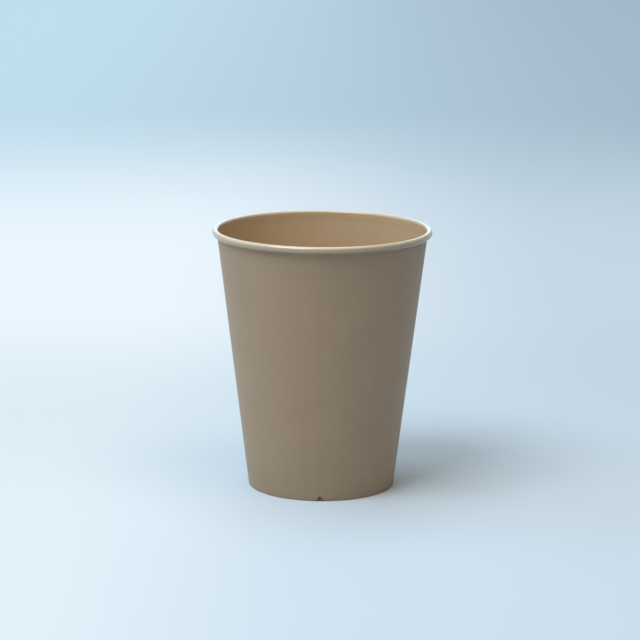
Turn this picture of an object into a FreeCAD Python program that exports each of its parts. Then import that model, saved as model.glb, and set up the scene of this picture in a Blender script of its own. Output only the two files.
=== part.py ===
import FreeCAD, Part
import math
import os
from collections import namedtuple
import Sketcher

# Paper coffee cup of the 12 oz size, in millimetres.
# +Z is up. The origin is the middle of the ring that the cup stands on, and the seam of the wall faces -Y.
# The wall is one sheet of board: folded in and up at the foot, lapped at the front, rolled outwards at the rim.
# The bottom is a disc of thinner board whose skirt is sealed between the wall and the folded foot.

SIZES = [
    ("cup_height", 107.5, "from the table to the top of the rim"),
    ("rim_dia", 90.0, "outside diameter over the rolled rim"),
    ("foot_dia", 60.2, "outside diameter of the wall where it meets the table"),
    ("wall_board", 0.4, "thickness of the wall's board"),
    ("base_board", 0.3, "thickness of the bottom's board"),
    ("rim_overhang", 1.9, "how far the roll stands out from the wall below it"),
    ("roll_width", 2.3, "width of the rolled rim, inside to outside"),
    ("roll_flat", 0.8, "straight outer side of the roll, between its upper and lower bends"),
    ("roll_gap", 0.4, "air between the rising sheet and the tail of the roll"),
    ("tail_radius", 0.3, "last bend of the roll, at mid-thickness"),
    ("tail_end", 0.2, "straight end of the sheet after that bend"),
    ("neck_radius", 2.0, "bend where the wall turns in below the roll, at mid-thickness"),
    ("neck_drop", 1.2, "from the underside of the roll down to the middle of the neck's bend"),
    ("fold_height", 7.0, "from the table to the top edge of the folded foot"),
    ("crease_round", 0.06, "inner rounding of the foot's two creases"),
    ("seal_gap", 0.03, "clearance at each sealed face of the bottom's skirt"),
    ("recess_depth", 8.5, "from the table up to the underside of the bottom"),
    ("base_bend", 0.5, "inner rounding where the bottom turns down into its skirt"),
    ("skirt_clear", 0.4, "from the crown of the notch up to the lower edge of the skirt"),
    ("lap_angle", 12.0, "width of the lapped seam, in degrees around the cup"),
    ("lap_rise", 0.3, "how far the inner layer of the lap stands in from the wall"),
    ("lap_clear", 0.2, "from the bottom's upper face to the lower end of the lap"),
    ("notch_left", 2.2, "foot notch, from the seam's edge to its left end"),
    ("notch_right", 2.15, "foot notch, from the seam's edge to its right end"),
    ("notch_height", 1.9, "foot notch, from the table to its crown"),
    ("notch_crown", 0.1, "foot notch, from the seam's edge to the middle of its crown"),
    ("notch_round", 0.9, "radius of the notch's crown"),
    ("slit_width", 0.28, "width of the slit above the notch"),
    ("slit_length", 1.2, "from the notch's crown to the top of the slit"),
    ("edge_depth", 0.06, "depth of the outer layer's edge line up the seam"),
    ("edge_angle", 0.15, "width of that line, in degrees around the cup"),
]

doc = FreeCAD.newDocument("PaperCup")
sheet = doc.addObject("Spreadsheet::Sheet", "Sizes")
for row, (alias, size, meaning) in enumerate(SIZES, start=1):
    sheet.set(f"A{row}", alias)
    sheet.set(f"B{row}", str(size))
    sheet.setAlias(f"B{row}", alias)
    sheet.set(f"C{row}", meaning)
doc.recompute()


def number(formula):
    """The value that a formula of the sheet's cells has."""
    value = sheet.evalExpression(formula)
    return float(getattr(value, "Value", value))


# Formulas shared by the two pieces, as text that sketches are bound to.
# The wall's outer face is straight in section, from the foot to the underside of the roll.

FOOT_R = "(Sizes.foot_dia / 2)"
RIM_R = "(Sizes.rim_dia / 2)"
ROLL_R = "((Sizes.roll_width - Sizes.wall_board) / 2)"
ROLL_Z = "(Sizes.cup_height - Sizes.roll_width / 2)"
UNDER_R = f"({ROLL_R} - (Sizes.wall_board + Sizes.roll_gap) / 2)"
UNDER_Z = f"({ROLL_Z} - Sizes.roll_flat)"
ROLL_BOTTOM = f"({UNDER_Z} - {UNDER_R} - Sizes.wall_board / 2)"
SLOPE = f"atan(({RIM_R} - Sizes.rim_overhang - {FOOT_R}) / {ROLL_BOTTOM})"
SKIRT_OUTSIDE = "(Sizes.wall_board + Sizes.seal_gap)"
FOLD_FACE = f"({SKIRT_OUTSIDE} + Sizes.base_board + Sizes.seal_gap)"
BASE_TOP = "(Sizes.recess_depth + Sizes.base_board)"
NECK_Z = f"({ROLL_BOTTOM} - Sizes.neck_drop)"
CREASE_Z = "(Sizes.crease_round + Sizes.wall_board)"
SLIT_TOP = "(Sizes.notch_height + Sizes.slit_length)"


def behind_wall(height, depth):
    """Distance from the axis of a point at a height and a depth inwards from the wall's outer face."""
    return f"({FOOT_R} + {height} * tan({SLOPE}) - {depth} / cos({SLOPE}))"


# Sketches and features

def new_body(label):
    body = doc.addObject("PartDesign::Body", label)
    body.Label = label
    return body


def new_sketch(body, label, plane):
    """A sketch on one of the body's own origin planes: XZ_Plane, or the half-plane that runs to the seam."""
    sketch = body.newObject("Sketcher::SketchObject", label)
    role = "YZ_Plane" if plane == "seam" else plane
    support = next(item for item in body.Origin.OriginFeatures if item.Role == role)
    sketch.AttachmentSupport = [(support, "")]
    sketch.MapMode = "FlatFace"
    if plane == "seam":
        half_turn = FreeCAD.Rotation(FreeCAD.Vector(0, 1, 0), 180)
        sketch.AttachmentOffset = FreeCAD.Placement(FreeCAD.Vector(0, 0, 0), half_turn)
    return sketch


ORIGIN = (-1, 1)


def bind(sketch, kind, items, formula):
    """Adds a dimension that takes its value from the sheet."""
    index = sketch.addConstraint(Sketcher.Constraint(kind, *items, number(formula)))
    sketch.setExpression(f"Constraints[{index}]", formula)


def bind_point(sketch, geometry, end, x, z):
    """Ties a point to formulas for its two distances from the origin."""
    for kind, formula in (("DistanceX", x), ("DistanceY", z)):
        if number(formula) < 0:
            bind(sketch, kind, (geometry, end, *ORIGIN), f"0 - {formula}")
        else:
            bind(sketch, kind, (*ORIGIN, geometry, end), formula)


def polygon(sketch, corners):
    """A closed outline of straight lines through corners given as pairs of formulas."""
    points = [FreeCAD.Vector(number(x), number(z), 0) for x, z in corners]
    lines = [sketch.addGeometry(Part.LineSegment(points[i - 1], points[i]), False) for i in range(len(points))]
    for i, line in enumerate(lines):
        sketch.addConstraint(Sketcher.Constraint("Coincident", line, 2, lines[(i + 1) % len(lines)], 1))
        bind_point(sketch, line, 2, *corners[i])


# Outline of a folded sheet
# A path of bends joined by straight runs. A bend's radius is signed: positive where the path turns left.

Bend = namedtuple("Bend", "x z radius turn")


def run_normal(centre_a, radius_a, centre_b, radius_b):
    """Left normal of the straight run between two bends."""
    span = centre_b - centre_a
    angle = math.atan2(span.y, span.x) - math.asin((radius_b - radius_a) / span.Length)
    return FreeCAD.Vector(-math.sin(angle), math.cos(angle), 0)


def chain(sketch, points, radii):
    """Straight runs and the bends between them, tangent all along."""
    spans = list(zip(points, radii, points[1:], radii[1:]))
    normals = [run_normal(*span) for span in spans]
    lines = []
    for normal, (first, first_r, last, last_r) in zip(normals, spans):
        edge = Part.LineSegment(first - normal * first_r, last - normal * last_r)
        lines.append(sketch.addGeometry(edge, False))
    arcs = []
    for i, (centre, radius) in enumerate(list(zip(points, radii))[1:-1]):
        rays = [normals[i] * -radius, normals[i + 1] * -radius]
        ends = [1, 2]
        if radius < 0:
            rays.reverse()
            ends.reverse()
        circle = Part.Circle(centre, FreeCAD.Vector(0, 0, 1), abs(radius))
        angles = [math.atan2(ray.y, ray.x) for ray in rays]
        arc = sketch.addGeometry(Part.ArcOfCircle(circle, *angles), False)
        sketch.addConstraint(Sketcher.Constraint("Tangent", lines[i], 2, arc, ends[0]))
        sketch.addConstraint(Sketcher.Constraint("Tangent", arc, ends[1], lines[i + 1], 1))
        arcs.append(arc)
    return lines, arcs


def strip(sketch, board, bends, start, end):
    """Closed outline of a sheet of even thickness. Bends are at mid-thickness, start and end on its left face."""
    thickness = number(board)
    path = [start, *((bend.x, bend.z) for bend in bends), end]
    points = [FreeCAD.Vector(number(x), number(z), 0) for x, z in path]
    left_radii = [0, *(bend.turn * number(bend.radius) - thickness / 2 for bend in bends), 0]
    right_radii = [radius + thickness for radius in left_radii]
    left_lines, left_arcs = chain(sketch, points, left_radii)
    right_lines, right_arcs = chain(sketch, points, right_radii)

    for left, right, bend in zip(left_arcs, right_arcs, bends):
        sketch.addConstraint(Sketcher.Constraint("Coincident", left, 3, right, 3))
        bind_point(sketch, left, 3, bend.x, bend.z)
        inner, outer = (left, right) if bend.turn > 0 else (right, left)
        bind(sketch, "Radius", (inner,), f"{bend.radius} - {board} / 2")
        bind(sketch, "Radius", (outer,), f"{bend.radius} + {board} / 2")

    for i, tip, place in ((0, 1, start), (-1, 2, end)):
        left, right = left_lines[i], right_lines[i]
        edge = Part.LineSegment(sketch.getPoint(left, tip), sketch.getPoint(right, tip))
        cap = sketch.addGeometry(edge, False)
        sketch.addConstraint(Sketcher.Constraint("Coincident", cap, 1, left, tip))
        sketch.addConstraint(Sketcher.Constraint("Coincident", cap, 2, right, tip))
        sketch.addConstraint(Sketcher.Constraint("Perpendicular", cap, left))
        sketch.addConstraint(Sketcher.Constraint("Parallel", left, right))
        bind_point(sketch, left, tip, *place)


def revolve(body, sketch, kind, label, angle=None):
    """Revolves a section about the cup's axis: all round, or by an angle from the seam towards +X."""
    volume = 0 if body.Shape.isNull() else body.Shape.Volume
    feature = body.newObject(kind, label)
    feature.Profile = sketch
    feature.ReferenceAxis = (sketch, ["V_Axis"])
    feature.Angle = 360
    if angle:
        feature.setExpression("Angle", angle)
    doc.recompute()
    if (body.Shape.Volume > volume) != (kind == "PartDesign::Revolution"):
        raise RuntimeError(f"{label} adds or cuts nothing")


def pocket(body, sketch, label):
    """Cuts a sketch through everything on the seam's side of its plane."""
    volume = body.Shape.Volume
    feature = body.newObject("PartDesign::Pocket", label)
    feature.Profile = sketch
    feature.Type = "ThroughAll"
    feature.Reversed = True
    doc.recompute()
    if body.Shape.Volume >= volume:
        raise RuntimeError(f"{label} cuts nothing")


# Wall: folded foot, straight wall, neck and rolled rim

def make_wall_sheet(body):
    """The sheet's whole section in one strip, revolved."""
    board = "Sizes.wall_board"
    crease_r = f"(Sizes.crease_round + {board} / 2)"
    roll_x = f"({RIM_R} - Sizes.roll_width / 2)"
    tail_x = f"({roll_x} - {ROLL_R} + {board} + Sizes.roll_gap + Sizes.tail_radius)"
    bends = [
        Bend(behind_wall(CREASE_Z, f"({FOLD_FACE} - Sizes.crease_round)"), CREASE_Z, crease_r, 1),
        Bend(behind_wall(CREASE_Z, CREASE_Z), CREASE_Z, crease_r, 1),
        Bend(behind_wall(NECK_Z, f"(Sizes.neck_radius + {board} / 2)"), NECK_Z, "Sizes.neck_radius", 1),
        Bend(roll_x, ROLL_Z, ROLL_R, -1),
        Bend(f"({RIM_R} - {board} / 2 - {UNDER_R})", UNDER_Z, UNDER_R, -1),
        Bend(tail_x, ROLL_Z, "Sizes.tail_radius", -1),
    ]
    fold_top = (behind_wall("Sizes.fold_height", FOLD_FACE), "Sizes.fold_height")
    tail_tip = (f"({tail_x} + Sizes.tail_end)", f"({ROLL_Z} + Sizes.tail_radius + {board} / 2)")
    section = new_sketch(body, "wall_section", "seam")
    strip(section, board, bends, fold_top, tail_tip)
    revolve(body, section, "PartDesign::Revolution", "wall_sheet")


def make_lap(body):
    """The lap's inner layer, from the bottom to the neck, and the outer layer's edge line up the seam."""
    lap_foot = f"({BASE_TOP} + Sizes.lap_clear)"
    buried = "(Sizes.wall_board / 2)"
    lap_face = "(Sizes.wall_board + Sizes.lap_rise)"
    lap = new_sketch(body, "lap_section", "seam")
    polygon(lap, [
        (behind_wall(lap_foot, buried), lap_foot),
        (behind_wall(NECK_Z, buried), NECK_Z),
        (behind_wall(NECK_Z, lap_face), NECK_Z),
        (behind_wall(lap_foot, lap_face), lap_foot),
    ])
    revolve(body, lap, "PartDesign::Revolution", "lap_layer", "Sizes.lap_angle")

    outside = "(0 - Sizes.edge_depth)"
    edge = new_sketch(body, "edge_section", "seam")
    polygon(edge, [
        (behind_wall(SLIT_TOP, outside), SLIT_TOP),
        (behind_wall(NECK_Z, outside), NECK_Z),
        (behind_wall(NECK_Z, "Sizes.edge_depth"), NECK_Z),
        (behind_wall(SLIT_TOP, "Sizes.edge_depth"), SLIT_TOP),
    ])
    revolve(body, edge, "PartDesign::Groove", "edge_line", "Sizes.edge_angle")


def cut_notch(body):
    """The notch runs through wall and fold: a slope on each side of a round crown."""
    below = f"(0 - {CREASE_Z})"
    crown = ("Sizes.notch_crown", "(Sizes.notch_height - Sizes.notch_round)")
    feet = (("(0 - Sizes.notch_left)", "0"), ("Sizes.notch_right", "0"))
    sketch = new_sketch(body, "notch_outline", "XZ_Plane")
    points = [FreeCAD.Vector(number(x), number(z), 0) for x, z in (feet[0], crown, feet[1])]
    sides, crowns = chain(sketch, points, [0, -number("Sizes.notch_round"), 0])
    bind_point(sketch, crowns[0], 3, *crown)
    bind(sketch, "Radius", (crowns[0],), "Sizes.notch_round")
    bind_point(sketch, sides[0], 1, *feet[0])
    bind_point(sketch, sides[1], 2, *feet[1])

    corners = [points[2], FreeCAD.Vector(points[2].x, number(below), 0)]
    corners += [FreeCAD.Vector(points[0].x, number(below), 0), points[0]]
    lines = [sketch.addGeometry(Part.LineSegment(*pair), False) for pair in zip(corners, corners[1:])]
    for first, second in zip([sides[1], *lines], [*lines, sides[0]]):
        sketch.addConstraint(Sketcher.Constraint("Coincident", first, 2, second, 1))
    bind_point(sketch, lines[1], 1, feet[1][0], below)
    bind_point(sketch, lines[1], 2, feet[0][0], below)
    pocket(body, sketch, "foot_notch")


def cut_slit(body):
    """The slit cuts only the outer board: its plane lies between that board and the folded foot."""
    inside_notch = "(Sizes.notch_height - Sizes.notch_round)"
    sketch = new_sketch(body, "slit_outline", "XZ_Plane")
    sketch.setExpression(".AttachmentOffset.Base.z", behind_wall(inside_notch, SKIRT_OUTSIDE))
    right, left = "(Sizes.slit_width / 2)", "(0 - Sizes.slit_width / 2)"
    polygon(sketch, [(right, inside_notch), (right, SLIT_TOP), (left, SLIT_TOP), (left, inside_notch)])
    pocket(body, sketch, "seam_slit")


def make_sidewall():
    body = new_body("sidewall")
    make_wall_sheet(body)
    make_lap(body)
    cut_notch(body)
    cut_slit(body)
    return body


# Bottom: a disc whose edge turns down into a skirt between wall and fold

def make_bottom():
    board = "Sizes.base_board"
    bend_z = "(Sizes.recess_depth - Sizes.base_bend)"
    bend_x = behind_wall(bend_z, f"({SKIRT_OUTSIDE} + {board} + Sizes.base_bend)")
    skirt_z = "(Sizes.notch_height + Sizes.skirt_clear)"
    body = new_body("bottom")
    section = new_sketch(body, "bottom_section", "seam")
    bends = [Bend(bend_x, bend_z, f"(Sizes.base_bend + {board} / 2)", -1)]
    strip(section, board, bends, ("0", BASE_TOP), (behind_wall(skirt_z, SKIRT_OUTSIDE), skirt_z))
    revolve(body, section, "PartDesign::Revolution", "bottom_sheet")
    return body


pieces = [make_sidewall(), make_bottom()]
doc.recompute()

for item in doc.Objects:
    if {"Invalid", "Error"} & set(item.State):
        raise RuntimeError(f"{item.Label} failed: {item.State}")
for piece in pieces:
    if piece.Shape.isNull() or not piece.Shape.isValid() or len(piece.Shape.Solids) != 1:
        raise RuntimeError(f"{piece.Label} isn't one valid solid")

os.makedirs("parts", exist_ok=True)
for piece in pieces:
    piece.Shape.exportStep(f"parts/{piece.Label}.step")
    box = piece.Shape.BoundBox
    print(f"{piece.Label}: {piece.Shape.Volume:.1f} mm3, z {box.ZMin:.3f} to {box.ZMax:.3f}, x to {box.XMax:.3f}")
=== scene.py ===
import math

import bmesh
import bpy
from bpy.props import FloatProperty, FloatVectorProperty, IntProperty, PointerProperty
from mathutils import Matrix, Vector


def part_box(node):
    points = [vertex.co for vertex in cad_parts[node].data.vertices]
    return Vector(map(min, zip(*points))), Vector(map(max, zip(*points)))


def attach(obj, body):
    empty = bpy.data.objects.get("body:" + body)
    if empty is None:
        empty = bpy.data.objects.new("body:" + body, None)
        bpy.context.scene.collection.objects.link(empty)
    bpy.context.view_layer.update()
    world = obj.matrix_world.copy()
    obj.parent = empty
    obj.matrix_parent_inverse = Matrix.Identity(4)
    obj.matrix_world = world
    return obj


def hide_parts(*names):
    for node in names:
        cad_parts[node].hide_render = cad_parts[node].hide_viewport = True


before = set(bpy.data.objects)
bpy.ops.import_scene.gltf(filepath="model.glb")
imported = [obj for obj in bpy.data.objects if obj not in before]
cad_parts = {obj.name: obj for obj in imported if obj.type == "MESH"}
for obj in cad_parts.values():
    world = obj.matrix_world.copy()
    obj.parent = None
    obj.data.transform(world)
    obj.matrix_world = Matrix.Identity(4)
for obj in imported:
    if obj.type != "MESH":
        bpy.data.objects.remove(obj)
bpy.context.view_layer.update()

# A takeaway paper cup: one rolled and folded sheet of kraft board, and a bottom sealed into its foot.
# Lengths are in metres. The cup stands on z = 0 around the Z axis, and its seam faces -Y.

bl_info = {
    "name": "Paper coffee cup",
    "version": (1, 0, 0),
    "blender": (4, 5, 0),
    "location": "View3D > Sidebar > Paper Cup",
    "description": "Builds a kraft paper cup with a rolled rim, a folded foot and a recessed bottom",
    "category": "Add Mesh",
}

MM = 0.001
WALL_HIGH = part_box("sidewall")[1]
BASE_LOW, BASE_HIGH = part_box("bottom")

# The sheet's surfaces, as the numbers that its faces carry.
OUTSIDE, INSIDE, RIM, CUT_EDGE = range(4)

# What a row of the section holds besides its place: how far the lap, the edge line and the waves act there.
WEIGHTS = ("lap", "line", "slack")

# Longest step along a straight run of the section, and turn of one step in a bend.
RUN_STEP = 2.5 * MM
BEND_STEP = math.radians(12.0)

# Height over which the lap and the edge line set in.
LEDGE = 0.05 * MM

# Shares of the height between which the wall is slack enough to wave, and the slack left at the rim.
SLACK_FROM_FOOT = 0.25
SLACK_TO_RIM = 0.8
RIM_SLACK = 0.3

# How far inwards the rim's glossier surface reaches, whose colour is painted lighter than the board, as a share of
# the roll's radius.
RIM_REACH = 0.8

# Points closer than this are one point, and edges that turn by more than this angle stay crisp.
MERGE = 0.001 * MM
SHARP = math.radians(40.0)

# Depth to which the notch and slit cut into the board behind them, so that it shows the dark cut-edge colour there
# as painted shade, and reach of a cutter past the cup.
PAINTED_SHADE_DEPTH = 0.05 * MM
CUT_MARGIN = 1.0 * MM

# The board: its clouds, and its fibres in two directions, each with a turn and a stretch.
CLOUDS = 55.0
FIBRE_DENSITY = 2600.0
FIBRES = [
    ((0.0, 0.0, 0.0), (1.0, 1.0, 0.16)),
    ((0.5, 0.35, 0.8), (1.0, 0.22, 1.0)),
]
NOISE_RANGE = (0.3, 0.7)
ROUGHNESS_SWING = 0.05
GRAIN = 0.2
GRAIN_DEPTH = 0.01 * MM
BOARD_GLOSS = 0.5
COAT_ROUGHNESS = 0.20
EDGE_ROUGHNESS = 0.8
EDGE_GLOSS = 0.2

# Depth over which painted shade darkens the rim towards its underside, as a share of the roll's width.
RIM_SHADE = 1.1

# The sweep: its size, its surface, and the distances over which it turns into the plain background.
FLOOR_SIZE = 12.0
FLOOR_ROUGHNESS = 0.9
FLOOR_GLOSS = 0.1
BEHIND = (0.06, 0.36)
FAR_OFF = (0.45, 1.15)
NEAR_TO_FAR = (0.5, 1.25)

# Where its colours change from the lit side to the other, as painted pools of light on the floor and on the glow
# behind.
FLOOR_ACROSS = (-0.12, 0.02)
NEAR_ACROSS = (-0.12, 0.16)
FAR_ACROSS = (-0.35, 0.35)

# The picture's side and the offset of its middle from the lens axis, in pixels, and the camera's reach.
IMAGE_SIDE = 640
CENTRE_RIGHT = 1.877
CENTRE_DOWN = 0.5
CLIP = (0.01, 100.0)

# Softboxes: name of the power, name of the colour, angles around the cup and above the floor, width.
SOFTBOXES = [
    ("key", "daylight", -43, 58, 0.6),
    ("side", "skylight", -98, 38, 1.0),
    ("back", "daylight", -160, 75, 0.6),
    ("low", "skylight", 180, 18, 0.6),
    ("fill", "lamplight", 48, 68, 0.6),
]
LAMP_AIM = 60 * MM

# The colour sockets of the Mix node, which share their names with its other sockets.
MIX_FIRST, MIX_SECOND, MIX_RESULT = 6, 7, 2


# Settings that a user would change

def length(name, default, description):
    return FloatProperty(
        name=name, description=description, default=default, min=0.0, unit="LENGTH", precision=5)


def angle(name, degrees, description):
    return FloatProperty(
        name=name, description=description, default=math.radians(degrees), subtype="ANGLE")


def share(name, default, description):
    return FloatProperty(
        name=name, description=description, default=default, min=0.0, soft_max=1.0, subtype="FACTOR")


def lens(name, default, description):
    return FloatProperty(name=name, description=description, default=default, min=1.0, unit="CAMERA")


def power(name, default, description):
    return FloatProperty(name=name, description=description, default=default, min=0.0, unit="POWER")


def colour(name, default, description):
    return FloatVectorProperty(
        name=name, description=description, default=default, size=3, subtype="COLOR", min=0.0, max=1.0)


class CupSizes(bpy.types.PropertyGroup):
    """Sizes of the folded sheet and of the bottom."""
    cup_height: length("Height", WALL_HIGH.z, "From the table to the top of the rim")
    rim_radius: length("Rim radius", WALL_HIGH.x, "Outside of the rolled rim")
    foot_radius: length("Foot radius", 30.1 * MM, "Outside of the wall where it meets the table")
    wall_board: length("Wall board", 0.4 * MM, "Thickness of the wall's board")
    base_board: length("Bottom board", 0.3 * MM, "Thickness of the bottom's board")
    rim_overhang: length("Rim overhang", 1.9 * MM, "How far the roll stands out from the wall")
    roll_width: length("Roll width", 2.3 * MM, "Width of the rolled rim")
    roll_flat: length("Roll flat", 0.8 * MM, "Straight outer side of the roll")
    roll_gap: length("Roll gap", 0.4 * MM, "Air between the rising sheet and the roll's tail")
    tail_radius: length("Tail radius", 0.3 * MM, "Last bend of the roll")
    tail_end: length("Tail end", 0.2 * MM, "Straight end of the sheet after the last bend")
    neck_radius: length("Neck radius", 2.0 * MM, "Bend where the wall turns in below the roll")
    neck_drop: length("Neck drop", 1.2 * MM, "From the underside of the roll to the neck's bend")
    fold_height: length("Fold height", 7.0 * MM, "From the table to the top edge of the folded foot")
    crease_round: length("Crease rounding", 0.06 * MM, "Inner rounding of the foot's creases")
    seal_gap: length("Seal gap", 0.03 * MM, "Clearance at each sealed face of the skirt")
    recess_depth: length("Recess depth", BASE_HIGH.z - 0.3 * MM, "From the table to the bottom's underside")
    base_bend: length("Bottom bend", 0.5 * MM, "Inner rounding where the bottom turns down")
    skirt_end: length("Skirt end", BASE_LOW.z, "Height of the skirt's lower edge")
    base_crown: length("Bottom crown", 0.25 * MM, "How far the middle of the bottom bulges up")


class SeamSizes(bpy.types.PropertyGroup):
    """Lapped seam, and the notch and slit where it ends at the foot."""
    lap_angle: angle("Lap angle", 12.0, "Width of the lap around the cup")
    lap_rise: length("Lap rise", 0.3 * MM, "How far the inner layer stands in from the wall")
    lap_clear: length("Lap clearance", 0.2 * MM, "From the bottom up to the lap's lower end")
    edge_depth: length("Edge line depth", 0.06 * MM, "Depth of the outer layer's edge line")
    notch_left: length("Notch left", 2.2 * MM, "From the seam to the notch's left end")
    notch_right: length("Notch right", 2.15 * MM, "From the seam to the notch's right end")
    notch_height: length("Notch height", 1.9 * MM, "From the table to the notch's crown")
    notch_crown: length("Notch crown", 0.1 * MM, "From the seam to the middle of the crown")
    notch_round: length("Notch rounding", 0.9 * MM, "Radius of the notch's crown")
    slit_width: length("Slit width", 0.28 * MM, "Width of the slit above the notch")
    slit_length: length("Slit length", 1.2 * MM, "From the notch's crown to the top of the slit")


class SheetDetail(bpy.types.PropertyGroup):
    """How finely the sheets are drawn, and how far paper strays from a true cone."""
    columns: IntProperty(name="Columns", description="Steps around the cup", default=320, min=48)
    crowding: share("Crowding", 0.82, "How much closer the steps are at the seam")
    wave_height: length("Wave height", 0.05 * MM, "Depth of the slow waves in the wall")
    wave_size: length("Wave size", 45.0 * MM, "Distance between the waves")
    seed: IntProperty(name="Seed", description="Picks the pattern of the waves", default=3)


class PaperFinish(bpy.types.PropertyGroup):
    """Colour and surface of the board."""
    kraft: colour("Kraft", (0.395, 0.274, 0.172), "Uncoated outer face")
    # Painted light: the inner face is lighter than the outer face of the same board, standing in for light that
    # comes through the wall and bounces inside.
    coated_painted_lighter: colour("Coated kraft", (0.575, 0.420, 0.262), "Inner face under its clear coating")
    # Painted light: the rim's colour is lighter than the board's, standing in for the light from above on its top.
    rim: colour("Rim", (0.680, 0.510, 0.325), "Rolled rim, burnished by the rolling")
    # The cut-edge colour is the board's raw edge, and also painted shade on the faces seen through the notch and
    # slit.
    cut: colour("Cut board", (0.190, 0.135, 0.080), "Raw edge of the board")
    matt: share("Outer roughness", 0.50, "Roughness of the outer face")
    satin: share("Inner roughness", 0.30, "Roughness of the coated face")
    coating: share("Coating", 0.5, "Gloss of the inner face's clear coating")
    # Painted shade: how dark the rim's underside is painted against its top.
    burnish: share("Burnish", 0.8, "Gloss that rolling gives the rim")
    underside: share("Rim underside", 0.40, "Tone of the rim's underside against its top")
    mottle: share("Mottle", 0.03, "Cloudiness of the board's tone")
    fibre: share("Fibre", 0.04, "Strength of the fine fibres")


class StudioSettings(bpy.types.PropertyGroup):
    """Camera, floor and lamps."""
    turn: angle("Turn", 0.95, "Camera's angle to the right of the seam")
    tilt: angle("Tilt", 11.966, "Camera's angle above the horizon")
    roll: angle("Roll", 0.3286, "Camera's turn about its own axis")
    distance: length("Distance", 1.0725, "From the camera to the point it looks at")
    look_height: length("Look height", 68.79 * MM, "Height of the point that the camera looks at")
    focal: lens("Focal length", 146.25, "Focal length of the camera, in millimetres")
    sensor: lens("Sensor width", 36.0, "Width of the camera's sensor, in millimetres")
    # Painted light: the floor is painted lighter on the lit side.
    floor_left: colour("Floor left", (0.74, 0.82, 0.88), "Sweep around the cup, on the lit side")
    floor_tone: colour("Floor", (0.64, 0.76, 0.875), "Sweep around the cup, on the shadow side")
    # Painted light: the sweep behind glows brighter on the lit side and near the cup, and dimmer on the other side
    # and farther off.
    near_left: colour("Near left", (0.83, 0.93, 1.0), "Sweep just behind the cup, on the lit side")
    near_right: colour("Near right", (0.55, 0.68, 0.79), "Sweep just behind the cup, on the other side")
    far_left: colour("Far left", (0.53, 0.73, 0.86), "Sweep far behind, on the lit side")
    far_right: colour("Far right", (0.37, 0.49, 0.59), "Sweep far behind, on the other side")
    key: power("Key", 7.4, "High softbox at the front left")
    side: power("Side", 3.6, "Softbox at the far left")
    back: power("Back", 2.8, "Softbox above and behind")
    low: power("Low", 1.3, "Low softbox behind the cup")
    fill: power("Fill", 2.4, "High softbox at the front right")
    daylight: colour("Daylight", (0.95, 0.98, 1.0), "Colour of the key and back softboxes")
    skylight: colour("Skylight", (0.50, 0.80, 1.0), "Colour of the side and low softboxes")
    lamplight: colour("Lamplight", (1.0, 0.86, 0.68), "Colour of the fill softbox")
    lamp_distance: length("Lamp distance", 1.1, "From each softbox to the cup")
    room_tint: colour("Room light", (1.0, 0.88, 0.74), "Colour of the light from all round")
    room: share("Room", 0.12, "Strength of the light from all round")


class PaperCup(bpy.types.PropertyGroup):
    """All settings of the cup and its stage."""
    sizes: PointerProperty(type=CupSizes, name="Sizes", description="Sizes of the sheet and the bottom")
    seam: PointerProperty(type=SeamSizes, name="Seam", description="Lapped seam, notch and slit")
    detail: PointerProperty(type=SheetDetail, name="Detail", description="Steps and waves of the sheets")
    finish: PointerProperty(type=PaperFinish, name="Finish", description="Colour and surface of the board")
    studio: PointerProperty(type=StudioSettings, name="Studio", description="Camera, floor and lamps")


# Outline of a folded sheet

class Bend:
    """A bend of the sheet: its middle, and its radius at mid-thickness, positive where the path turns left."""

    def __init__(self, x, z, radius):
        self.middle = Vector((x, z))
        self.radius = radius


def tangent_run(first, first_radius, last, last_radius):
    """Ends of the straight run that is tangent to two bends."""
    span = last - first
    heading = math.atan2(span.y, span.x) - math.asin((last_radius - first_radius) / span.length)
    normal = Vector((-math.sin(heading), math.cos(heading)))
    return first - normal * first_radius, last - normal * last_radius


def bend_points(middle, first, last, side):
    """Points of a bend after its first point, turning left for a positive side and right for a negative one."""
    start = math.atan2(first.y - middle.y, first.x - middle.x)
    sweep = math.atan2(last.y - middle.y, last.x - middle.x) - start
    if side > 0 > sweep:
        sweep += math.tau
    if side < 0 < sweep:
        sweep -= math.tau
    steps = max(2, math.ceil(abs(sweep) / BEND_STEP))
    turns = [start + sweep * step / steps for step in range(1, steps + 1)]
    radius = (first - middle).length
    return [middle + Vector((math.cos(turn), math.sin(turn))) * radius for turn in turns]


def run_points(first, last, heights):
    """Points of a straight run after its first point, with one at each of the heights that it passes."""
    steps = max(1, round((last - first).length / RUN_STEP))
    stops = {step / steps for step in range(1, steps + 1)}
    rise = last.y - first.y
    stops |= {(height - first.y) / rise for height in heights if 0 < height - first.y < rise}
    return [first.lerp(last, stop) for stop in sorted(stops)]


def rounded_line(middles, radii, heights=()):
    """A line of tangent straight runs and bends, given by the bends' middles and signed radii."""
    points = []
    for i in range(len(middles) - 1):
        first, last = tangent_run(middles[i], radii[i], middles[i + 1], radii[i + 1])
        if points:
            points += bend_points(middles[i], points[-1], first, radii[i])
        else:
            points.append(first)
        points += run_points(first, last, heights)
    return points


def sheet_faces(board, bends, start, end, heights=()):
    """Both faces of a folded sheet, left and right of its path. Start and end lie on its left face."""
    middles = [Vector(start), *(bend.middle for bend in bends), Vector(end)]
    left = [0.0, *(bend.radius - board / 2 for bend in bends), 0.0]
    right = [radius + board for radius in left]
    return [rounded_line(middles, radii, heights) for radii in (left, right)]


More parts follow.
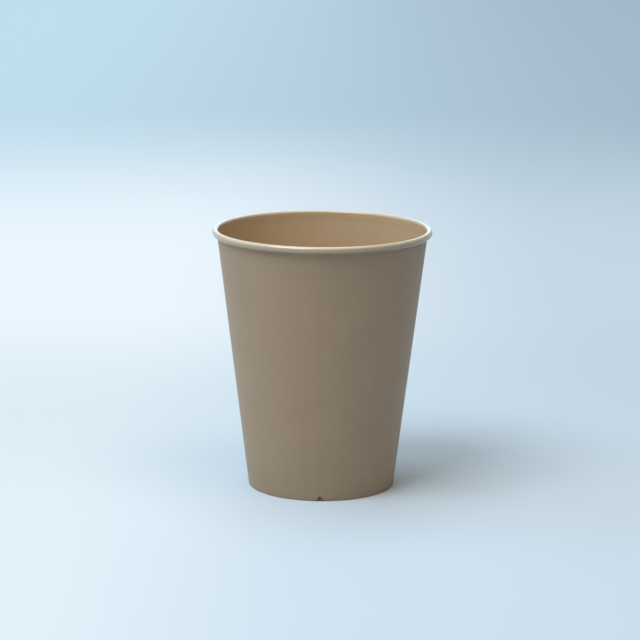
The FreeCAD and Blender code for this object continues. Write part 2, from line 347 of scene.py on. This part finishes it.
class CupShape:
    """The cup's sizes, and the places in its section that follow from them."""

    def __init__(self, sizes, seam):
        self.sizes = sizes
        self.seam = seam
        self.roll_radius = (sizes.roll_width - sizes.wall_board) / 2
        self.roll_z = sizes.cup_height - sizes.roll_width / 2
        self.under_radius = self.roll_radius - (sizes.wall_board + sizes.roll_gap) / 2
        self.under_z = self.roll_z - sizes.roll_flat
        self.roll_bottom = self.under_z - self.under_radius - sizes.wall_board / 2
        self.neck_z = self.roll_bottom - sizes.neck_drop
        self.slope = math.atan2(sizes.rim_radius - sizes.rim_overhang - sizes.foot_radius, self.roll_bottom)
        self.skirt_outside = sizes.wall_board + sizes.seal_gap
        self.fold_face = self.skirt_outside + sizes.base_board + sizes.seal_gap
        self.base_top = sizes.recess_depth + sizes.base_board
        self.lap_foot = self.base_top + seam.lap_clear
        self.slit_top = seam.notch_height + seam.slit_length

    def behind_wall(self, height, depth):
        """Distance from the axis of a point at a height and a depth inwards from the wall's outer face."""
        return self.sizes.foot_radius + height * math.tan(self.slope) - depth / math.cos(self.slope)


# Sections, with what each row of the sheet needs to know

def smooth_step(low, high, value):
    """Rises smoothly from nought to one as a value goes from low to high."""
    part = min(1.0, max(0.0, (value - low) / (high - low)))
    return part * part * (3 - 2 * part)


def section_mesh(name, rows):
    """A chain of edges in the XZ plane. Each row is a point, the surface of the face after it, and its weights."""
    mesh = bpy.data.meshes.new(name)
    mesh.from_pydata([(row["point"].x, 0.0, row["point"].y) for row in rows],
                     [(i, i + 1) for i in range(len(rows) - 1)], [])
    layer = mesh.attributes.new("layer", "INT", "EDGE")
    layer.data.foreach_set("value", [row["layer"] for row in rows[:-1]])
    along = 0.0
    distances = []
    for i, row in enumerate(rows):
        along += (row["point"] - rows[max(0, i - 1)]["point"]).length
        distances.append(along)
    mesh.attributes.new("along", "FLOAT", "POINT").data.foreach_set("value", distances)
    for weight in WEIGHTS:
        values = [row[weight] for row in rows]
        mesh.attributes.new(weight, "FLOAT", "POINT").data.foreach_set("value", values)
    return mesh


def sheet_rows(left, right, weights):
    """Rows once round the sheet: up its left face, over its far end, and back along its right face."""
    rows = []
    for face, points in ((INSIDE, left), (OUTSIDE, right[::-1])):
        for point in points:
            row = {"point": point, "layer": face, **dict.fromkeys(WEIGHTS, 0.0)}
            rows.append({**row, **weights(face, point)})
        rows[-1]["layer"] = CUT_EDGE
    return rows


def wall_section(shape):
    """The wall's sheet: folded foot, straight wall, neck and rolled rim."""
    sizes = shape.sizes
    board = sizes.wall_board
    crease_z = sizes.crease_round + board
    crease_radius = sizes.crease_round + board / 2
    roll_x = sizes.rim_radius - sizes.roll_width / 2
    tail_x = roll_x - shape.roll_radius + board + sizes.roll_gap + sizes.tail_radius
    bends = [
        Bend(shape.behind_wall(crease_z, shape.fold_face - sizes.crease_round), crease_z, crease_radius),
        Bend(shape.behind_wall(crease_z, crease_z), crease_z, crease_radius),
        Bend(shape.behind_wall(shape.neck_z, sizes.neck_radius + board / 2), shape.neck_z, sizes.neck_radius),
        Bend(roll_x, shape.roll_z, -shape.roll_radius),
        Bend(sizes.rim_radius - board / 2 - shape.under_radius, shape.under_z, -shape.under_radius),
        Bend(tail_x, shape.roll_z, -sizes.tail_radius),
    ]
    start = (shape.behind_wall(sizes.fold_height, shape.fold_face), sizes.fold_height)
    end = (tail_x + sizes.tail_end, shape.roll_z + sizes.tail_radius + board / 2)
    heights = (shape.slit_top, shape.slit_top + LEDGE, shape.lap_foot, shape.lap_foot + LEDGE)
    left, right = sheet_faces(board, bends, start, end, heights)
    rim_from = roll_x - RIM_REACH * shape.roll_radius

    def weights(face, point):
        above_neck = 1.0 - smooth_step(shape.neck_z, shape.roll_bottom, point.y)
        on_lap = face == INSIDE and point.y > shape.lap_foot + LEDGE / 2
        on_line = face == OUTSIDE and point.y > shape.slit_top + LEDGE / 2
        on_rim = face == INSIDE and point.x > rim_from and point.y > shape.roll_bottom
        free = smooth_step(shape.lap_foot, SLACK_FROM_FOOT * sizes.cup_height, point.y)
        held = smooth_step(SLACK_TO_RIM * sizes.cup_height, shape.roll_bottom, point.y)
        return {
            "layer": RIM if on_rim else face,
            "lap": above_neck if on_lap else 0.0,
            "line": above_neck if on_line else 0.0,
            "slack": free * (1.0 - held * (1.0 - RIM_SLACK)),
        }

    rows = sheet_rows(left, right, weights)
    return section_mesh("wall_section", rows + rows[:1])


def base_section(shape):
    """The bottom's sheet: a slightly crowned disc whose edge turns down into a skirt."""
    sizes = shape.sizes
    board = sizes.base_board
    bend_z = sizes.recess_depth - sizes.base_bend
    bend_x = shape.behind_wall(bend_z, shape.skirt_outside + board + sizes.base_bend)
    end = (shape.behind_wall(sizes.skirt_end, shape.skirt_outside), sizes.skirt_end)
    bends = [Bend(bend_x, bend_z, -(sizes.base_bend + board / 2))]
    left, right = sheet_faces(board, bends, (0.0, shape.base_top), end)
    for point in (*left, *right):
        if point.x < bend_x:
            point.y += sizes.base_crown * (1.0 - (point.x / bend_x) ** 2) ** 2
    return section_mesh("base_section", sheet_rows(left, right, lambda face, point: {}))


# Node trees

def put(tree, kind, inputs=(), **settings):
    """Adds a node, sets its options, and links or sets its inputs."""
    node = tree.nodes.new(kind)
    for option, value in settings.items():
        setattr(node, option, value)
    for key, value in dict(inputs).items():
        if isinstance(value, bpy.types.NodeSocket):
            tree.links.new(value, node.inputs[key])
        else:
            node.inputs[key].default_value = value
    return node


def value_of(tree, operation, *values):
    """The result of a maths node."""
    return put(tree, "ShaderNodeMath", enumerate(values), operation=operation).outputs[0]


def whole(tree, operation, *values):
    """The result of a maths node on whole numbers."""
    return put(tree, "FunctionNodeIntegerMath", enumerate(values), operation=operation).outputs[0]


def vector(tree, operation, inputs):
    """The result of a vector maths node."""
    return put(tree, "ShaderNodeVectorMath", inputs, operation=operation).outputs["Vector"]


SHEET_TREE = "Folded sheet"
SHEET_INPUTS = [
    ("Section", "NodeSocketGeometry"),
    ("Columns", "NodeSocketInt"),
    ("Crowding", "NodeSocketFloat"),
    ("Lap angle", "NodeSocketFloat"),
    ("Lap rise", "NodeSocketFloat"),
    ("Line depth", "NodeSocketFloat"),
    ("Wave height", "NodeSocketFloat"),
    ("Wave size", "NodeSocketFloat"),
    ("Seed", "NodeSocketInt"),
    ("Outside", "NodeSocketMaterial"),
    ("Inside", "NodeSocketMaterial"),
    ("Rim", "NodeSocketMaterial"),
    ("Cut edge", "NodeSocketMaterial"),
]


def sheet_tree():
    """Lays a section around the cup's axis, with the lap, the seam's edge line and slow waves."""
    tree = bpy.data.node_groups.new(SHEET_TREE, "GeometryNodeTree")
    for name, kind in SHEET_INPUTS:
        tree.interface.new_socket(name=name, in_out="INPUT", socket_type=kind)
    tree.interface.new_socket(name="Sheet", in_out="OUTPUT", socket_type="NodeSocketGeometry")
    given = tree.nodes.new("NodeGroupInput").outputs
    section = given["Section"]

    # A grid with a row for each point of the section, and a column for each step around the cup.
    rows = put(tree, "GeometryNodeAttributeDomainSize", {0: section}).outputs["Point Count"]
    columns = whole(tree, "ADD", given["Columns"], 1)
    grid = put(tree, "GeometryNodeMeshGrid", {"Vertices X": columns, "Vertices Y": rows}).outputs["Mesh"]
    index = tree.nodes.new("GeometryNodeInputIndex").outputs[0]
    row = whole(tree, "FLOORED_MODULO", index, rows)
    column = whole(tree, "DIVIDE_FLOOR", index, rows)
    face_row = whole(tree, "FLOORED_MODULO", index, whole(tree, "SUBTRACT", rows, 1))

    # What the section says of each row.
    def sampled(source, kind, domain, at):
        sample = put(tree, "GeometryNodeSampleIndex", {"Geometry": section, "Index": at},
                     data_type=kind, domain=domain)
        tree.links.new(source, sample.inputs["Value"])
        return sample.outputs["Value"]

    def named(name, kind):
        return put(tree, "GeometryNodeInputNamedAttribute", {"Name": name}, data_type=kind).outputs["Attribute"]

    position = tree.nodes.new("GeometryNodeInputPosition").outputs[0]
    place = sampled(position, "FLOAT_VECTOR", "POINT", row)
    spot = put(tree, "ShaderNodeSeparateXYZ", {0: place}).outputs
    lap, line, slack, along = (
        sampled(named(name, "FLOAT"), "FLOAT", "POINT", row) for name in (*WEIGHTS, "along"))

    # Angle around the cup, counted from the seam, where the steps are closer.
    turn = value_of(tree, "MULTIPLY", value_of(tree, "DIVIDE", column, given["Columns"]), math.tau)
    crowd = value_of(tree, "MULTIPLY", value_of(tree, "SINE", turn), given["Crowding"])
    around = value_of(tree, "SUBTRACT", turn, crowd)
    sine, cosine = value_of(tree, "SINE", around), value_of(tree, "COSINE", around)

    # The lap starts one column after the seam, and the edge line is that column.
    past_seam = value_of(tree, "GREATER_THAN", column, 0.5)
    within_lap = value_of(tree, "LESS_THAN", around, given["Lap angle"])
    on_lap = value_of(tree, "MULTIPLY", value_of(tree, "MULTIPLY", past_seam, within_lap), lap)
    on_line = value_of(tree, "MULTIPLY", value_of(tree, "COMPARE", column, 1.0, 0.5), line)

    # Slow waves, read on the true cup. They only go inwards, so the cup keeps its outline.
    unit = put(tree, "ShaderNodeCombineXYZ", {0: sine, 1: value_of(tree, "MULTIPLY", cosine, -1.0)}).outputs[0]
    ring = vector(tree, "SCALE", {0: unit, "Scale": spot["X"]})
    lift = put(tree, "ShaderNodeCombineXYZ", {2: spot["Z"]}).outputs[0]
    noise = put(tree, "ShaderNodeTexNoise", {
        "Vector": vector(tree, "ADD", {0: ring, 1: lift}),
        "W": given["Seed"],
        "Scale": value_of(tree, "DIVIDE", 1.0, given["Wave size"]),
        "Detail": 1.0,
    }, noise_dimensions="4D").outputs[0]
    wave = value_of(tree, "MULTIPLY", value_of(tree, "SUBTRACT", noise, 1.0), given["Wave height"])

    # Lap, edge line and waves together move a point towards the axis.
    inwards = value_of(tree, "MULTIPLY", on_lap, given["Lap rise"])
    inwards = value_of(tree, "ADD", inwards, value_of(tree, "MULTIPLY", on_line, given["Line depth"]))
    inwards = value_of(tree, "SUBTRACT", inwards, value_of(tree, "MULTIPLY", wave, slack))
    radius = value_of(tree, "SUBTRACT", spot["X"], inwards)
    shifted = vector(tree, "SCALE", {0: unit, "Scale": radius})
    final_place = vector(tree, "ADD", {0: shifted, 1: lift})
    mesh = put(tree, "GeometryNodeSetPosition", {"Geometry": grid, "Position": final_place}).outputs[0]

    # Places on the flat sheet, and the surface that each face belongs to.
    across = value_of(tree, "MULTIPLY", around, spot["X"])
    flat_place = put(tree, "ShaderNodeCombineXYZ", {0: across, 1: along}).outputs[0]
    mesh = put(tree, "GeometryNodeStoreNamedAttribute", {"Geometry": mesh, "Name": "sheet", "Value": flat_place},
               data_type="FLOAT2", domain="CORNER").outputs[0]
    surface = sampled(named("layer", "INT"), "INT", "EDGE", face_row)
    mesh = put(tree, "GeometryNodeStoreNamedAttribute", {"Geometry": mesh, "Name": "layer", "Value": surface},
               data_type="INT", domain="FACE").outputs[0]

    mesh = put(tree, "GeometryNodeMergeByDistance", {"Geometry": mesh, "Distance": MERGE}).outputs[0]
    mesh = put(tree, "GeometryNodeSetShadeSmooth", {0: mesh, "Shade Smooth": True}).outputs[0]
    mesh = put(tree, "GeometryNodeRealizeInstances", {0: mesh}).outputs[0]
    layer = named("layer", "INT")
    for number, name in ((OUTSIDE, "Outside"), (INSIDE, "Inside"), (RIM, "Rim"), (CUT_EDGE, "Cut edge")):
        chosen = put(tree, "FunctionNodeCompare", {"A": layer, "B": number}, data_type="INT", operation="EQUAL")
        mesh = put(tree, "GeometryNodeSetMaterial", {
            "Geometry": mesh, "Selection": chosen.outputs[0], "Material": given[name]}).outputs[0]
    tree.links.new(mesh, tree.nodes.new("NodeGroupOutput").inputs[0])
    return tree


def sheet_settings(cup):
    """The tree's numbers, by the name of their input."""
    return {
        "Columns": cup.detail.columns,
        "Crowding": cup.detail.crowding,
        "Lap angle": cup.seam.lap_angle,
        "Lap rise": cup.seam.lap_rise,
        "Line depth": cup.seam.edge_depth,
        "Wave height": cup.detail.wave_height,
        "Wave size": cup.detail.wave_size,
        "Seed": cup.detail.seed,
    }


# Meshes

def add_object(name, data):
    """A new object in the scene."""
    item = bpy.data.objects.new(name, data)
    bpy.context.scene.collection.objects.link(item)
    return item


def apply_modifiers(piece):
    """Replaces a piece's mesh by what its modifiers make of it, and removes them."""
    depsgraph = bpy.context.evaluated_depsgraph_get()
    mesh = bpy.data.meshes.new_from_object(piece.evaluated_get(depsgraph), depsgraph=depsgraph)
    if not mesh.polygons:
        raise RuntimeError(f"{piece.name} came out without faces")
    piece.modifiers.clear()
    piece.data = mesh
    mesh.name = piece.name


def sheet_piece(name, section, cup, materials):
    """A piece made from a section by the folded sheet's tree, as a plain mesh whose faces point outwards."""
    tree = bpy.data.node_groups.get(SHEET_TREE) or sheet_tree()
    piece = add_object(name, section)
    modifier = piece.modifiers.new("sheet", "NODES")
    modifier.node_group = tree
    identifiers = {item.name: item.identifier for item in tree.interface.items_tree if item.in_out == "INPUT"}
    for key, value in {**sheet_settings(cup), **materials}.items():
        modifier[identifiers[key]] = value
    apply_modifiers(piece)
    mesh = piece.data
    loose = bmesh.new()
    loose.from_mesh(mesh)
    bmesh.ops.remove_doubles(loose, verts=loose.verts, dist=MERGE)
    bmesh.ops.recalc_face_normals(loose, faces=loose.faces)
    loose.to_mesh(mesh)
    loose.free()
    mesh.attributes.remove(mesh.attributes["layer"])
    mesh.set_sharp_from_angle(angle=SHARP)
    return piece


def prism(name, outline, near, far, material):
    """A closed block with an outline in the XZ plane, from one Y to another, used to cut with."""
    count = len(outline)
    corners = [(point.x, y, point.y) for y in (near, far) for point in outline]
    faces = [tuple(range(count)), tuple(range(2 * count - 1, count - 1, -1))]
    faces += [(i, i + count, (i + 1) % count + count, (i + 1) % count) for i in range(count)]
    mesh = bpy.data.meshes.new(name)
    mesh.from_pydata(corners, [], faces)
    mesh.materials.append(material)
    solid = bmesh.new()
    solid.from_mesh(mesh)
    bmesh.ops.recalc_face_normals(solid, faces=solid.faces)
    solid.to_mesh(mesh)
    solid.free()
    return add_object(name, mesh)


def cut(piece, cutters):
    """Cuts blocks out of a piece, removes the blocks and keeps the edges crisp."""
    for cutter in cutters:
        modifier = piece.modifiers.new(cutter.name, "BOOLEAN")
        modifier.operation = "DIFFERENCE"
        modifier.solver = "EXACT"
        modifier.material_mode = "TRANSFER"
        modifier.object = cutter
    apply_modifiers(piece)
    for cutter in cutters:
        bpy.data.objects.remove(cutter)
    piece.data.set_sharp_from_angle(angle=SHARP)


# Materials

def empty_material(name):
    """The material of that name, made if need be, with no nodes."""
    material = bpy.data.materials.get(name) or bpy.data.materials.new(name)
    material.use_nodes = True
    material.node_tree.nodes.clear()
    return material


def kraft_material(name, finish, tone, roughness, coat=0.0, gloss=BOARD_GLOSS, shade=None):
    """Kraft board: a cloudy tone, fine fibres in two directions and a faint grain, and where a band of heights is
    given, painted shade that darkens the tone towards the band's bottom.
    """
    material = empty_material(name)
    tree = material.node_tree
    place = tree.nodes.new("ShaderNodeTexCoord").outputs["Object"]
    cloud = put(tree, "ShaderNodeTexNoise", {
        "Vector": place, "Scale": CLOUDS, "Detail": 4.0, "Roughness": 0.6}).outputs[0]
    strands = []
    for turn, stretch in FIBRES:
        laid = put(tree, "ShaderNodeMapping", {"Vector": place, "Rotation": turn, "Scale": stretch}).outputs[0]
        strands.append(put(tree, "ShaderNodeTexNoise", {
            "Vector": laid, "Scale": FIBRE_DENSITY, "Detail": 3.0, "Roughness": 0.55}).outputs[0])
    weave = value_of(tree, "MULTIPLY", value_of(tree, "ADD", *strands), 0.5)

    def swing(source, amount):
        """Runs from minus the amount to plus the amount as a noise runs over its usual range."""
        low, high = NOISE_RANGE
        return put(tree, "ShaderNodeMapRange", {
            "Value": source, "From Min": low, "From Max": high, "To Min": -amount, "To Max": amount}).outputs[0]

    change = value_of(tree, "ADD", swing(cloud, finish.mottle), swing(weave, finish.fibre))
    strength = value_of(tree, "ADD", change, 1.0)
    # Painted shade: the tone falls from full at the band's top to the shaded share at its bottom, as on the rim's
    # underside.
    if shade:
        low, high, painted_shade_tone = shade
        height = put(tree, "ShaderNodeSeparateXYZ", {0: place}).outputs["Z"]
        lift = put(tree, "ShaderNodeMapRange", {
            "Value": height, "From Min": low, "From Max": high, "To Min": painted_shade_tone}).outputs[0]
        strength = value_of(tree, "MULTIPLY", strength, lift)
    shader = put(tree, "ShaderNodeBsdfPrincipled", {
        "Base Color": vector(tree, "SCALE", {0: tuple(tone), "Scale": strength}),
        "Roughness": value_of(tree, "ADD", swing(weave, ROUGHNESS_SWING), roughness),
        "Normal": put(tree, "ShaderNodeBump", {
            "Height": weave, "Strength": GRAIN, "Distance": GRAIN_DEPTH}).outputs[0],
        "Coat Weight": coat,
        "Coat Roughness": COAT_ROUGHNESS,
        "Specular IOR Level": gloss,
    })
    put(tree, "ShaderNodeOutputMaterial", {"Surface": shader.outputs[0]})
    return material


def board_materials(cup):
    """The sheet's surfaces, by the name of their input in the tree. The rim's colour darkens towards its underside
    as painted shade.
    """
    finish, sizes = cup.finish, cup.sizes
    shade = (sizes.cup_height - RIM_SHADE * sizes.roll_width, sizes.cup_height, finish.underside)
    return {
        "Outside": kraft_material("kraft_outside", finish, finish.kraft, finish.matt),
        "Inside": kraft_material("kraft_coated", finish, finish.coated_painted_lighter, finish.satin, coat=finish.coating),
        "Rim": kraft_material("kraft_rim", finish, finish.rim, finish.satin,
                              coat=finish.burnish, gloss=finish.burnish, shade=shade),
        "Cut edge": kraft_material("board_edge", finish, finish.cut, EDGE_ROUGHNESS, gloss=EDGE_GLOSS),
    }


# Pieces

def notch_cutters(shape, edge_and_shade_material):
    """The foot notch and the slit above it open the outer board, and cut a little into the face of the fold behind
    them, which then shows the dark cut-edge colour as painted shade.
    """
    seam = shape.seam
    crown = Vector((seam.notch_crown, seam.notch_height - seam.notch_round))
    feet = [Vector((-seam.notch_left, 0.0)), Vector((seam.notch_right, 0.0))]
    below = Vector((0.0, CUT_MARGIN))
    outline = rounded_line([feet[0], crown, feet[1]], [0.0, -seam.notch_round, 0.0])
    outline += [feet[1] - below, feet[0] - below]
    before = -(shape.sizes.foot_radius + CUT_MARGIN)
    painted_shade_end = -shape.behind_wall(crown.y, shape.fold_face + PAINTED_SHADE_DEPTH)
    notch = prism("notch", outline, before, painted_shade_end, edge_and_shade_material)
    return [notch, slit_cutter(shape, painted_shade_end, edge_and_shade_material)]


def slit_cutter(shape, depth, edge_and_shade_material):
    """A block as wide and high as the slit, from in front of the cup to a depth."""
    half = shape.seam.slit_width / 2
    low, high = shape.seam.notch_height - shape.seam.notch_round, shape.slit_top
    outline = [Vector(corner) for corner in ((half, low), (half, high), (-half, high), (-half, low))]
    return prism("slit", outline, -(shape.sizes.foot_radius + CUT_MARGIN), depth, edge_and_shade_material)


class BuildSidewall(bpy.types.Operator):
    """Builds the wall from one sheet: folded foot, lapped seam, notch, neck and rolled rim"""
    bl_idname = "paper_cup.sidewall"
    bl_label = "Sidewall"

    def execute(self, context):
        cup = context.scene.paper_cup
        shape = CupShape(cup.sizes, cup.seam)
        materials = board_materials(cup)
        wall = sheet_piece("paper_sidewall", wall_section(shape), cup, materials)
        cut(wall, notch_cutters(shape, materials["Cut edge"]))
        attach(wall, "root")
        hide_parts("sidewall")
        return {"FINISHED"}


class BuildBottom(bpy.types.Operator):
    """Builds the bottom: a disc of thinner board whose skirt is sealed into the foot"""
    bl_idname = "paper_cup.bottom"
    bl_label = "Bottom"

    def execute(self, context):
        cup = context.scene.paper_cup
        shape = CupShape(cup.sizes, cup.seam)
        materials = board_materials(cup)
        base = sheet_piece("paper_bottom", base_section(shape), cup, materials)
        # The skirt behind the slit is cut a little, so it shows the dark cut-edge colour as painted shade.
        painted_shade_end = -shape.behind_wall(shape.slit_top, shape.skirt_outside + PAINTED_SHADE_DEPTH)
        cut(base, [slit_cutter(shape, painted_shade_end, materials["Cut edge"])])
        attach(base, "root")
        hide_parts("bottom")
        return {"FINISHED"}


# Stage

def ramp(tree, value, low, high):
    """Runs smoothly from nought to one as a value runs from low to high."""
    return put(tree, "ShaderNodeMapRange", {
        "Value": value, "From Min": low, "From Max": high}, interpolation_type="SMOOTHSTEP").outputs[0]


def blend(tree, factor, first, second):
    """A colour between two colours, each given as a value or as a socket."""
    mix = put(tree, "ShaderNodeMix", {"Factor": factor}, data_type="RGBA")
    for slot, tone in ((MIX_FIRST, first), (MIX_SECOND, second)):
        if isinstance(tone, bpy.types.NodeSocket):
            tree.links.new(tone, mix.inputs[slot])
        else:
            mix.inputs[slot].default_value = (*tone, 1.0)
    return mix.outputs[MIX_RESULT]


def distance(tree, place):
    """How far a place is from the middle of the cup's foot."""
    return put(tree, "ShaderNodeVectorMath", {0: place}, operation="LENGTH").outputs["Value"]


def far_glow(tree, place, studio):
    """Colour of the sweep behind the cup: from the lit side to the other, and from near to far, as painted light
    that is brighter on the lit side and near the cup.
    """
    spot = put(tree, "ShaderNodeSeparateXYZ", {0: place}).outputs
    near = blend(tree, ramp(tree, spot["X"], *NEAR_ACROSS), studio.near_left, studio.near_right)
    far = blend(tree, ramp(tree, spot["X"], *FAR_ACROSS), studio.far_left, studio.far_right)
    return blend(tree, ramp(tree, distance(tree, place), *NEAR_TO_FAR), near, far)


def seen_directly(tree):
    """One for rays that show the background as it is, seen straight, mirrored or through glass."""
    rays = tree.nodes.new("ShaderNodeLightPath").outputs
    either = value_of(tree, "MAXIMUM", rays["Is Camera Ray"], rays["Is Glossy Ray"])
    return value_of(tree, "MAXIMUM", either, rays["Is Transmission Ray"])


def sweep_material(studio):
    """A pale sheet that keeps the cup's shadow, with a painted pool of light on its lit side, and turns into the
    plain background farther off.
    """
    material = empty_material("paper_sweep")
    tree = material.node_tree
    place = tree.nodes.new("ShaderNodeTexCoord").outputs["Object"]
    spot = put(tree, "ShaderNodeSeparateXYZ", {0: place}).outputs
    shader = put(tree, "ShaderNodeBsdfPrincipled", {
        "Base Color": blend(tree, ramp(tree, spot["X"], *FLOOR_ACROSS), studio.floor_left, studio.floor_tone),
        "Roughness": FLOOR_ROUGHNESS,
        "Specular IOR Level": FLOOR_GLOSS,
    })
    behind = ramp(tree, spot["Y"], *BEHIND)
    off = value_of(tree, "MAXIMUM", behind, ramp(tree, distance(tree, place), *FAR_OFF))
    plain = value_of(tree, "MULTIPLY", off, seen_directly(tree))
    glow = put(tree, "ShaderNodeEmission", {"Color": far_glow(tree, place, studio)}).outputs[0]
    mix = put(tree, "ShaderNodeMixShader", {0: plain, 1: shader.outputs[0], 2: glow}).outputs[0]
    put(tree, "ShaderNodeOutputMaterial", {"Surface": mix})
    return material


def add_floor(studio):
    """The flat part of the sweep, which the cup stands on."""
    half = FLOOR_SIZE / 2
    corners = [(-half, -half, 0.0), (half, -half, 0.0), (half, half, 0.0), (-half, half, 0.0)]
    mesh = bpy.data.meshes.new("floor")
    mesh.from_pydata(corners, [], [(0, 1, 2, 3)])
    mesh.materials.append(sweep_material(studio))
    add_object("floor", mesh)


def bearing(around, above):
    """Unit vector at an angle around the cup, counted from the front to the right, and one above the floor."""
    return Vector((math.sin(around) * math.cos(above), -math.cos(around) * math.cos(above), math.sin(above)))


def add_camera(studio):
    """The camera, with the picture's middle a little off the lens axis."""
    data = bpy.data.cameras.new("camera")
    data.lens = studio.focal
    data.sensor_width = studio.sensor
    data.shift_x = -CENTRE_RIGHT / IMAGE_SIDE
    data.shift_y = CENTRE_DOWN / IMAGE_SIDE
    data.clip_start, data.clip_end = CLIP
    camera = add_object("camera", data)
    back = bearing(studio.turn, studio.tilt)
    facing = (-back).to_track_quat("-Z", "Y").to_matrix().to_4x4()
    place = Matrix.Translation(Vector((0.0, 0.0, studio.look_height)) + back * studio.distance)
    camera.matrix_world = place @ facing @ Matrix.Rotation(studio.roll, 4, "Z")
    bpy.context.scene.camera = camera


def add_softbox(studio, name, tint, around, above, width):
    """A square lamp that faces the cup."""
    data = bpy.data.lights.new(name, "AREA")
    data.shape = "SQUARE"
    data.size = width
    data.energy = getattr(studio, name)
    data.color = getattr(studio, tint)
    out = bearing(math.radians(around), math.radians(above))
    lamp = add_object(name, data)
    lamp.location = Vector((0.0, 0.0, LAMP_AIM)) + out * studio.lamp_distance
    lamp.rotation_euler = (-out).to_track_quat("-Z", "Y").to_euler()


def room_light(studio):
    """The light from all round, and the plain background where rays see it directly."""
    world = bpy.data.worlds.new("room")
    world.use_nodes = True
    tree = world.node_tree
    tree.nodes.clear()
    facing = tree.nodes.new("ShaderNodeTexCoord").outputs["Generated"]
    room = put(tree, "ShaderNodeBackground", {
        "Color": (*studio.room_tint, 1.0), "Strength": studio.room}).outputs[0]
    # The background seen directly is the same painted glow.
    plain = put(tree, "ShaderNodeBackground", {"Color": far_glow(tree, facing, studio)}).outputs[0]
    mix = put(tree, "ShaderNodeMixShader", {0: seen_directly(tree), 1: room, 2: plain}).outputs[0]
    put(tree, "ShaderNodeOutputWorld", {"Surface": mix})
    return world


class BuildStage(bpy.types.Operator):
    """Lays the floor and sets the camera, the lamps and the room light"""
    bl_idname = "paper_cup.stage"
    bl_label = "Stage"

    def execute(self, context):
        scene = context.scene
        studio = scene.paper_cup.studio
        add_camera(studio)
        add_floor(studio)
        for softbox in SOFTBOXES:
            add_softbox(studio, *softbox)
        scene.world = room_light(studio)
        scene.view_settings.view_transform = "Standard"
        return {"FINISHED"}


# Panel and registration

STEPS = (BuildStage, BuildSidewall, BuildBottom)


class PaperCupPanel(bpy.types.Panel):
    """Lists the steps that build the cup, and its settings"""
    bl_idname = "VIEW3D_PT_paper_cup"
    bl_label = "Paper Cup"
    bl_space_type = "VIEW_3D"
    bl_region_type = "UI"
    bl_category = "Paper Cup"

    def draw(self, context):
        cup = context.scene.paper_cup
        for step in STEPS:
            self.layout.operator(step.bl_idname)
        for group_name in PaperCup.__annotations__:
            group = getattr(cup, group_name)
            box = self.layout.box()
            box.label(text=cup.bl_rna.properties[group_name].name)
            for setting in type(group).__annotations__:
                box.prop(group, setting)


CLASSES = (CupSizes, SeamSizes, SheetDetail, PaperFinish, StudioSettings, PaperCup, *STEPS, PaperCupPanel)


def register():
    for item in CLASSES:
        bpy.utils.register_class(item)
    bpy.types.Scene.paper_cup = PointerProperty(type=PaperCup)


def unregister():
    del bpy.types.Scene.paper_cup
    for item in reversed(CLASSES):
        bpy.utils.unregister_class(item)


def main():
    register()
    bpy.ops.paper_cup.stage()
    bpy.ops.paper_cup.sidewall()
    bpy.ops.paper_cup.bottom()


if __name__ == "__main__":
    main()
